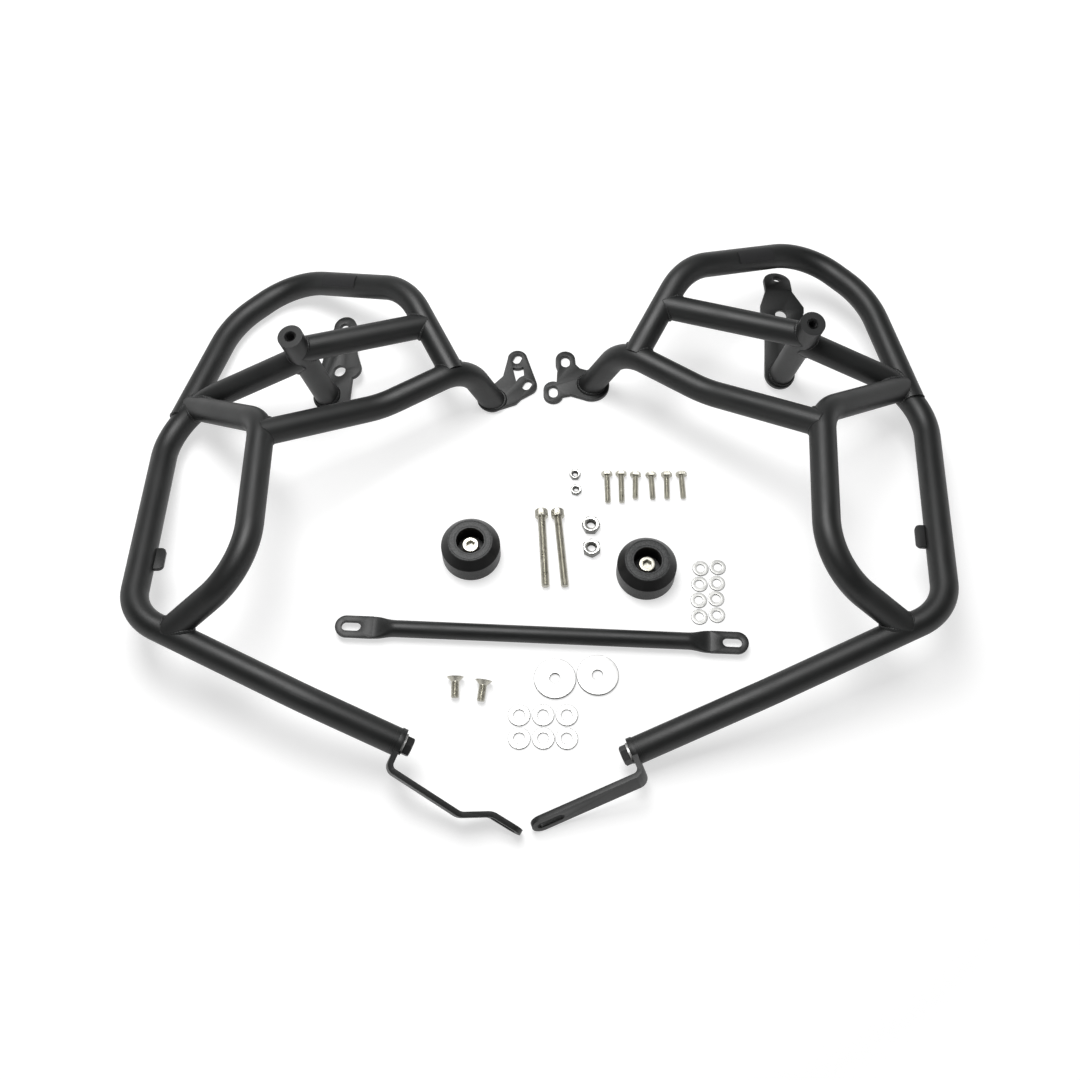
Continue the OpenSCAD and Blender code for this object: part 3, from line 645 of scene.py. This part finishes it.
def threadGrid(outer, pitch, depth, low, high, cols, rowsPerTurn=9):
    # radius = outer - depth * zigzag(h / pitch - a / full turn); the groove fades in over the
    # first turn, and the last 0.9 mm of the tip are bevelled
    rows = int((high - low) / pitch * rowsPerTurn)
    a = evenAngles(cols)[None, :]
    h = np.linspace(low, high, rows)[:, None]
    fade = np.clip((h - low) / pitch, 0, 1)
    r = outer - depth * zigzag(h / pitch - a / (2 * math.pi)) * fade
    r = np.minimum(r, outer - np.clip(h - high + 0.9, 0, 1) * 0.85)
    return r, np.broadcast_to(a, r.shape), np.broadcast_to(h, r.shape)


def threadedShank(v, low, tip, cols, origin, axes):
    # the thread from under the head to the tip, and the flat disc that closes it
    r, a, h = threadGrid(v["shankR"], v["pitch"], v["depth"], low, tip - 0.02, cols)
    end = (np.array([r[-1], r[-1] * 0]), a[:2], np.array([h[-1], h[-1]]))
    return [(turned((r, a, h), origin, axes), False, True),
            (turned(end, origin, axes), False, True)]


def lyingAxes(tilt, heading):
    # the axis from head to tip dips by the tilt and points along the heading, and the first axis
    # faces down
    t, h = tilt, math.radians(heading)
    z = np.array([math.cos(t) * math.cos(h), math.cos(t) * math.sin(h), -math.sin(t)])
    x = np.array([-math.sin(t) * math.cos(h), -math.sin(t) * math.sin(h), -math.cos(t)])
    return np.stack([x, np.cross(z, x), z], 1)


def lyingPlace(v, rim, length, x, y, heading):
    # head and tip both touch the floor: tan(tilt) = (head radius - shank radius) / length, and
    # the face's middle is lifted by rim sin(tilt) + head radius cos(tilt)
    tilt = math.atan((v["headR"] - v["shankR"]) / length)
    lift = rim * math.sin(tilt) + v["headR"] * math.cos(tilt)
    return onFloor(x, y) + np.array([0, 0, lift]), lyingAxes(tilt, heading)


def rolledAxes(axes, degrees):
    # the same axis with the two others turned round it
    a = math.radians(degrees)
    x = axes[:, 0] * math.cos(a) + axes[:, 1] * math.sin(a)
    return np.stack([x, np.cross(axes[:, 2], x), axes[:, 2]], 1)


socketScrew = {
    "spots": [[1.2, 30.2, -87, 10], [17.3, 30.2, -85, 25]],  # x, y, heading, roll
    "headR": 6.5, "headH": 8.0, "shankR": 4.0, "shankL": 75.0,
    "key": 6.0, "keyDepth": 4.0,
    "pitch": 1.25, "depth": 0.72,
    "knurls": 48, "knurlDepth": 0.16,
}


def socketScrewGrids(v, x, y, heading, roll):
    # rings from the key hole's floor over its broken rim and the rounded face edge to the side,
    # whose fine knurls are |sin| of the angle, and back to the shank
    origin, axes = lyingPlace(v, v["headH"], v["shankL"], x, y, heading)
    axes = rolledAxes(axes, roll)
    cols = v["knurls"] * 6
    a, one = evenAngles(cols), np.ones(cols)
    hexa = hexRadius(a, v["key"])
    side, tall = v["headR"] - 0.05, v["headH"]
    rim = roundedProfile([[4.3, 0], [side - 0.5, 0], [side, 0.6], [side, 1.0]], [0.5, 0.5])
    wave = v["headR"] - v["knurlDepth"] * np.abs(np.sin(a * v["knurls"] / 2))
    r = np.stack([hexa * 0, hexa * 0.6, hexa, hexa, hexa, hexa + 0.3, hexa + 0.45]
                 + [one * k for k in rim[:, 0]]
                 + [one * (v["headR"] - 0.02), wave, wave, one * side, one * (v["headR"] - 0.3),
                    one * (v["shankR"] + 0.5), one * (v["shankR"] - 0.1)])
    h = np.concatenate([[v["keyDepth"]] * 3, [2.0, 0.45, 0.08, 0.0], rim[:, 1],
                        [1.2, 1.5, tall - 0.5, tall - 0.3, tall, tall, tall + 0.1]])
    shank = threadedShank(v, tall, tall + v["shankL"], 36, origin, axes)
    return [(ringsAt(r, h, origin, axes), False, True)] + shank


grids = []
for spot in socketScrew["spots"]:
    grids += socketScrewGrids(socketScrew, *spot)
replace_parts(gathered("socket_screws_threaded", grids, zincPlate), "socket_screws")


hexBolt = {
    "headR": 5.0, "headH": 4.0, "shankR": 3.0,
    "cone": 4.55, "rise": 1.75,      # radius of the bevel's cone at the face, and its slope
    "pitch": 1.0, "depth": 0.58,
    "long": {"length": 30, "spots": [[68.3, 74.8, -89], [82.9, 75, -90]]},   # x, y, heading
    "short": {"length": 25, "spots": [[97.7, 74, -92], [113.4, 73.6, -88], [129.4, 74, -91],
                                      [144.4, 74.4, -88]]},
}


def hexBoltGrids(v, length, x, y, heading):
    # head radius = the smaller of a hexagon and a shallow cone, so the corners are bevelled
    origin, axes = lyingPlace(v, v["headH"], length, x, y, heading)
    tall = v["headH"]
    hexa = hexRadius(evenAngles(96), v["headR"] * 2)
    h = np.array([0, 0, 0.04, 0.12, 0.25, 0.4, 0.55, 0.75, 2.0, tall - 0.12, tall, tall, tall])
    cone = v["cone"] + np.clip(h, 0, 1) * v["rise"]
    r = np.minimum(hexa[None, :], cone[:, None])
    r[0] = 0
    r[9] = hexa - 0.03
    r[10] = hexa - 0.15
    r[11] = v["shankR"] + 0.3
    r[12] = v["shankR"] - 0.2
    shank = threadedShank(v, tall, tall + length, 32, origin, axes)
    return [(ringsAt(r, h, origin, axes), False, True)] + shank


for which in ("long", "short"):
    grids = []
    for spot in hexBolt[which]["spots"]:
        grids += hexBoltGrids(hexBolt, hexBolt[which]["length"], *spot)
    piece = gathered(which + "_hex_bolts_threaded", grids, zincPlate)
    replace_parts(piece, which + "_hex_bolts")


countersunk = {
    "spots": [[-79.6, -147, -90], [-52.8, -150.5, -98]],   # x, y, heading
    "headR": 8.0, "rim": 0.4, "shankR": 4.0, "length": 20.0,
    "key": 5.0, "keyDepth": 2.8,
    "pitch": 1.25, "depth": 0.72,
}


def countersunkGrids(v, x, y, heading):
    # flat face with a key hole, a thin rim, a cone down to the thread
    origin, axes = lyingPlace(v, v["rim"], v["length"], x, y, heading)
    one = np.ones(96)
    hexa = hexRadius(evenAngles(96), v["key"])
    wide, deep = v["headR"], v["keyDepth"]
    r = np.stack([hexa * 0, hexa * 0.6, hexa, hexa, hexa, hexa + 0.22, one * 6.0,
                  one * (wide - 0.3), one * (wide - 0.07), one * wide, one * wide,
                  one * (wide - 0.1), one * (v["shankR"] + 0.15), one * (v["shankR"] - 0.05)])
    h = np.array([deep, deep, deep, 1.4, 0.25, 0, 0, 0, 0.07, 0.15, 0.35, 0.5, 4.25, 4.5])
    shank = threadedShank(v, 4.4, v["length"], 36, origin, axes)
    return [(ringsAt(r, h, origin, axes), False, True)] + shank


grids = []
for spot in countersunk["spots"]:
    grids += countersunkGrids(countersunk, *spot)
piece = gathered("countersunk_screws_threaded", grids, zincPlate)
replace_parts(piece, "countersunk_screws")


nuts = {
    "small": {"spots": [[36, 73.5, 30], [36.8, 55.5, 12]],   # x, y, turn
              "across": 10.0, "height": 5.0, "hole": 3.0, "pitch": 1.0, "depth": 0.5},
    "large": {"spots": [[51.1, 14.5, 26], [51.3, -11, 4]],
              "across": 16.0, "height": 8.0, "hole": 5.0, "pitch": 1.5, "depth": 0.8},
}


def nutGrid(v, x, y, turn):
    # a closed ring: hexagon side cut by a cone at both faces, flat faces, then the threaded hole
    cols = 120
    a = evenAngles(cols)
    hexa, half, tall = hexRadius(a, v["across"]), v["across"] / 2, v["height"]
    bevel = np.array([0, 0.1, 0.25, 0.45, 0.7, 0.95])
    h = np.concatenate([bevel, [tall / 2], tall - bevel[::-1]])
    cone = half - 0.25 + np.minimum(h, tall - h) * 1.7
    outer = np.minimum(hexa[None, :], cone[:, None])
    turns = np.linspace(tall - 0.55, 0.55, int(tall / v["pitch"] * 9))
    ridge = zigzag(turns[:, None] / v["pitch"] - a[None, :] / (2 * math.pi))
    inner = v["hole"] - v["depth"] * 0.85 + v["depth"] * ridge
    lips = np.repeat(np.array([half - 0.6, v["hole"] + 0.55, v["hole"] + 0.4])[:, None], cols, 1)
    lipH = np.array([tall, tall, tall - 0.08])
    r = np.concatenate([outer, lips, inner, lips[::-1]])
    h = np.concatenate([h, lipH, turns, (tall - lipH)[::-1]])
    return ringsAt(r, h, onFloor(x, y), rolledAxes(np.eye(3), turn))


for which in ("small", "large"):
    grids = [(nutGrid(nuts[which], *spot), True, True) for spot in nuts[which]["spots"]]
    piece = gathered(which + "_nuts_threaded", grids, brightPlate)
    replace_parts(piece, which + "_nuts")


rings = {
    "small_washers": {"look": greyPlate, "outer": 8.0, "inner": 4.2, "tall": 1.6, "edge": 0.5,
                      "spots": [[158.6, -31.8], [175.6, -30.6], [156.5, -48.8], [173.7, -47.8],
                                [154.8, -66], [171.8, -64.3], [154.5, -83.4], [171.5, -81.5]]},
    "large_washers": {"look": palePlate, "outer": 10.5, "inner": 5.25, "tall": 2.0, "edge": 0.7,
                      "spots": [[-19.4, -182.6], [2.9, -182.6], [25.1, -182.6],
                                [-19.2, -204.9], [3, -204.9], [24.8, -205.1]]},
    "flat_discs": {"look": palePlate, "outer": 20.0, "inner": 5.0, "tall": 3.0, "edge": 0.8,
                   "spots": [[14.2, -146.8], [54.6, -143.4]]},
}


def ringGrid(v, x, y):
    # a rectangle with rounded corners carried round the middle
    e, o, i, t = v["edge"], v["outer"], v["inner"], v["tall"]
    middle = (o + i) / 2
    corners = [[middle, 0], [o, 0], [o, t], [i, t], [i, 0], [middle, 0]]
    outline = roundedProfile(corners, [e, e, e * 0.7, e * 0.7], 4)[:-1]
    return lathed(outline, 96, onFloor(x, y))


for name, v in rings.items():
    grids = [(ringGrid(v, *spot), True, True) for spot in v["spots"]]
    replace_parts(gathered(name + "_rounded", grids, v["look"], 50), name)
print("screws, nuts and washers made")


puck = {
    "spots": {"left": [-68, -15.5], "right": [104, -36.5]},
    "outer": 29.0, "tall": 31.0, "slopeTall": 10.5, "slopeWide": 7.0,
    "pocket": 13.5, "depth": 19.0, "hole": 5.3,
}


def puckGrid(v, x, y):
    # outline turned round the axis: side, sloping shoulder, flat face with two fine grooves, pocket
    o, t, p, b = v["outer"], v["tall"], v["pocket"], v["hole"]
    rim = o - v["slopeWide"]
    outline = roundedProfile(
        [[b, 0.0], [o, 0], [o, t - v["slopeTall"]], [rim, t],
         [21.2, t], [20.95, t - 0.35], [20.45, t - 0.35], [20.2, t],
         [15.7, t], [15.5, t - 0.3], [15.1, t - 0.3], [14.9, t],
         [p, t], [p, t - v["depth"]], [b, t - v["depth"]], [b, 0.0]],
        [0.9, 0.8, 0.9] + [0.1] * 8 + [0.45, 0.6, 0.2])[:-1]
    return lathed(outline, 144, onFloor(x, y))


puckScrew = {
    "headR": 8.0, "headTall": 10.0, "seat": 12.0, "key": 8.0, "keyDepth": 5.0,
    "knurls": 44, "knurlDepth": 0.2, "shankR": 5.0,
}


def puckScrewGrid(v, x, y):
    # key hole, broken rim, knurled side, then the shank down the puck
    cols = v["knurls"] * 6
    a, one = evenAngles(cols), np.ones(cols)
    hexa, wide, seat, core = hexRadius(a, v["key"]), v["headR"], v["seat"], v["shankR"]
    wave = wide - v["knurlDepth"] * np.abs(np.sin(a * v["knurls"] / 2))
    top = seat + 0.05 + v["headTall"]
    floor = top - v["keyDepth"]
    r = np.stack([hexa * 0, hexa * 0.7, hexa, hexa, hexa, hexa + 0.3, one * 5.6,
                  one * (wide - 0.9), one * (wide - 0.55), one * (wide - 0.3),
                  one * (wide - 0.15), wave, wave, one * (wide - 0.1), one * (wide - 0.4),
                  one * core, one * core, one * (core - 0.4), one * 0])
    h = np.array([floor, floor, floor, floor + 2, top - 0.35, top, top, top, top - 0.05,
                  top - 0.25, top - 0.7, top - 1.1, seat + 0.6, seat + 0.3, seat + 0.05,
                  seat + 0.05, 0.5, 0.12, 0.12])
    return ringsAt(r, h, onFloor(x, y), np.eye(3))


for side, spot in puck["spots"].items():
    look = turnedNylon(side + "Nylon", onFloor(*spot), nylon, puck["tall"])
    grids = [(puckGrid(puck, *spot), True, True)]
    piece = gathered(side + "_puck_turned", grids, look, 50)
    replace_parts(piece, side + "_puck")
    grids = [(puckScrewGrid(puckScrew, *spot), False, True)]
    piece = gathered(side + "_puck_screw_cut", grids, zincPlate)
    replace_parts(piece, side + "_puck_screw")
print("sliders made")


brace = {
    "middle": [1.15, -105, 8.25], "turn": -2.62,   # where it lies, mm and degrees
    "half": 197.75, "tubeR": 8.25,
    "endW": 11.0, "endT": 2.0,                     # half width and half thickness of the flat ends
    "flat": 37.0, "flare": 22.0,                   # lengths of the flat end and of the change to it
    "slotAt": 15.5, "slotHalf": 9.25, "slotR": 4.5,
    "edge": 0.5,                                   # rounding of the flat ends
}


def braceTube(v):
    # half width and half thickness go from the tube's to the flat end's by 3t^2 - 2t^3, and the
    # power of the outline |y/w|^n + |z/h|^n = 1 rises from 2, a circle, to 7, nearly a rectangle
    shoulder = v["half"] - v["flat"]
    near = np.linspace(shoulder - v["flare"], shoulder + 0.6, 26)
    x = np.concatenate([-near[::-1], np.linspace(-near[0], near[0], 60)[1:-1], near])
    t = np.clip((np.abs(x) - (shoulder - v["flare"])) / v["flare"], 0, 1)
    t = t * t * (3 - 2 * t)
    w = v["tubeR"] + (v["endW"] - v["tubeR"]) * t
    h = v["tubeR"] + (v["endT"] - v["tubeR"]) * t
    n = 2 + 5 * t ** 3
    x, w, h, n = (k[:, None] for k in (x, w, h, n))
    a = evenAngles(64)[None, :]
    c, d = np.cos(a), np.sin(a)
    r = (np.abs(c) ** n + np.abs(d) ** n) ** (-1 / n)
    return np.stack([np.repeat(x, 64, 1), w * c * r, h * d * r], -1)


def roundHit(c, d, centre, radius):
    # distance along the direction (c, d) to a circle whose centre lies on the long axis
    return centre * c + np.sqrt(np.maximum(radius ** 2 - (centre * d) ** 2, 0))


def braceEnd(v, way):
    # a closed ring between the slot's outline and the end's outline, with softened edges; both
    # outlines are distances from the slot's middle: straight sides, then a half circle
    cols = 180
    a = evenAngles(cols)
    c, d = np.cos(a), np.sin(a)
    steep = np.maximum(np.abs(d), 1e-6)
    slotX = v["half"] - v["slotAt"]
    straight = v["slotHalf"] - v["slotR"]
    inner = v["slotR"] / steep
    inner = np.where(inner * np.abs(c) < straight, inner,
                     roundHit(np.abs(c), d, straight, v["slotR"]))
    tipX = v["half"] - v["endW"] - slotX
    outer = v["endW"] / steep
    outer = np.where(outer * c > tipX, roundHit(c, d, tipX, v["endW"]), outer)
    back = slotX - (v["half"] - v["flat"])
    outer = np.where(c < 0, np.minimum(outer, back / np.maximum(-c, 1e-6)), outer)
    e, t = v["edge"], v["endT"]
    edge = np.array([[0, -t + e], [0, t - e], [e * 0.3, t - e * 0.3], [e, t]])
    r = [outer - k[0] for k in edge] + [inner + k[0] for k in edge[::-1]]
    z = [k[1] for k in edge] + [k[1] for k in edge[::-1]]
    r += [inner + e * 0.3, inner + e, outer - e, outer - e * 0.3]
    z += [-t + e * 0.3, -t, -t, -t + e * 0.3]
    r, z = np.stack(r), np.repeat(np.array(z)[:, None], cols, 1)
    return np.stack([(slotX + r * c) * way, r * d, z], -1)


spinAxes = turnXYZ([0, 0, brace["turn"]])
braceSpot = np.array(brace["middle"]) + kit["shift"]
grids = [(braceTube(brace) @ spinAxes.T + braceSpot, False, True)]
grids += [(braceEnd(brace, way) @ spinAxes.T + braceSpot, True, True) for way in (-1, 1)]
piece = gathered("cross_brace_smooth", grids, blackCoat, 40)
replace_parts(piece, "cross_brace")

bossHole = {"radius": 4.98, "pitch": 1.5, "depth": 0.75, "from": -24.0, "to": -0.6}   # mm


def bossThread(side, own, place):
    # threads on the wall of the boss's hole, from its mouth downwards
    top, foot = (toKit(own[k], place) for k in ("bossTop", "bossFoot"))
    axes = axisFrame(top - foot)
    v = bossHole
    rows = threadGrid(v["radius"], v["pitch"], v["depth"], v["from"], v["to"], 48)
    grids = [(turned(rows, top, axes), False, True)]
    gathered(side + "_boss_thread", grids, boltBlack, 60)


bossThread("left", leftOwn, leftPlace)
bossThread("right", rightOwn, rightPlace)
print("brace and boss threads made")


studio = {
    "camera": (-0.00367, -0.54329, 1.0767),   # where the camera stands, metres
    "aim": (-0.00367, -0.01349, 0.0),         # what it looks at
    "lens": 40, "sensor": 36,                 # mm
    "floorSide": 4,                           # half the floor's side, metres
    "floor": 0.50,                            # floor colour
    "lift": 0.62,                             # added to the floor where the camera sees it
    "fade": (0.55, 1.2),                      # distances between which that rises to full white
    "sky": 0.08,                              # even light from above
    "band": (0.14, 0.34),                     # slopes where the white horizon turns into it
    "lampSpot": (-0.22, 0.42, 1.55),          # middle of the lamp's face, metres
    "lampSize": (0.7, 1.1),
    "lampPower": 28.0,                        # watts
}


def seenRays(tree):
    # 1 for what the camera sees straight, in a reflection or through glass, else 0
    rays = tree.nodes.new("ShaderNodeLightPath")
    seen = rays.outputs["Is Camera Ray"]
    for kind in ("Is Glossy Ray", "Is Transmission Ray"):
        seen = mathOf(tree, "MAXIMUM", seen, rays.outputs[kind])
    return seen


floorMesh = bpy.data.meshes.new("floor")
side = studio["floorSide"]
corners = [(-side, -side, 0), (side, -side, 0), (side, side, 0), (-side, side, 0)]
floorMesh.from_pydata(corners, [], [(0, 1, 2, 3)])
floorPiece = bpy.data.objects.new("floor", floorMesh)
bpy.context.scene.collection.objects.link(floorPiece)
floorLook = bpy.data.materials.new("floorWhite")
floorLook.use_nodes = True
tree = floorLook.node_tree
tree.nodes.clear()
out = tree.nodes.new("ShaderNodeOutputMaterial")
paint = tree.nodes.new("ShaderNodeBsdfDiffuse")
paint.inputs["Color"].default_value = (studio["floor"],) * 3 + (1,)
glow = tree.nodes.new("ShaderNodeEmission")
place = tree.nodes.new("ShaderNodeTexCoord")
away = tree.nodes.new("ShaderNodeVectorMath")
away.operation = "LENGTH"
tree.links.new(place.outputs["Object"], away.inputs[0])
lift = rangeOf(tree, away.outputs["Value"], studio["lift"], 1.0, *studio["fade"])
tree.links.new(lift, glow.inputs["Strength"])
added = tree.nodes.new("ShaderNodeAddShader")
tree.links.new(paint.outputs[0], added.inputs[0])
tree.links.new(glow.outputs[0], added.inputs[1])
mix = tree.nodes.new("ShaderNodeMixShader")
tree.links.new(seenRays(tree), mix.inputs[0])
tree.links.new(paint.outputs[0], mix.inputs[1])
tree.links.new(added.outputs[0], mix.inputs[2])
tree.links.new(mix.outputs[0], out.inputs["Surface"])
floorMesh.materials.append(floorLook)

world = bpy.data.worlds.new("studio")
bpy.context.scene.world = world
world.use_nodes = True
tree = world.node_tree
tree.nodes.clear()
out = tree.nodes.new("ShaderNodeOutputWorld")
around = tree.nodes.new("ShaderNodeTexCoord")
parts = tree.nodes.new("ShaderNodeSeparateXYZ")
tree.links.new(around.outputs["Generated"], parts.inputs[0])
sky = tree.nodes.new("ShaderNodeBackground")
sky.inputs["Color"].default_value = (1, 1, 1, 1)
height = rangeOf(tree, parts.outputs["Z"], 1.0, studio["sky"], *studio["band"])
tree.links.new(height, sky.inputs["Strength"])
tree.links.new(sky.outputs[0], out.inputs["Surface"])


def aimAt(thing, spot, aim):
    # its own -Z points from the spot to the aim
    thing.location = spot
    thing.rotation_euler = (Vector(spot) - Vector(aim)).to_track_quat("Z", "Y").to_euler()


lamp = bpy.data.lights.new("topLight", "AREA")
lamp.shape = "RECTANGLE"
lamp.size, lamp.size_y = studio["lampSize"]
lamp.energy = studio["lampPower"]
lampPiece = bpy.data.objects.new("topLight", lamp)
bpy.context.scene.collection.objects.link(lampPiece)
aimAt(lampPiece, studio["lampSpot"], (0, 0, 0))

camera = bpy.data.objects.new("camera", bpy.data.cameras.new("camera"))
bpy.context.scene.collection.objects.link(camera)
aimAt(camera, studio["camera"], studio["aim"])
camera.data.lens = studio["lens"]
camera.data.sensor_width = studio["sensor"]
bpy.context.scene.camera = camera
bpy.context.scene.view_settings.view_transform = "Standard"
print("studio set up")
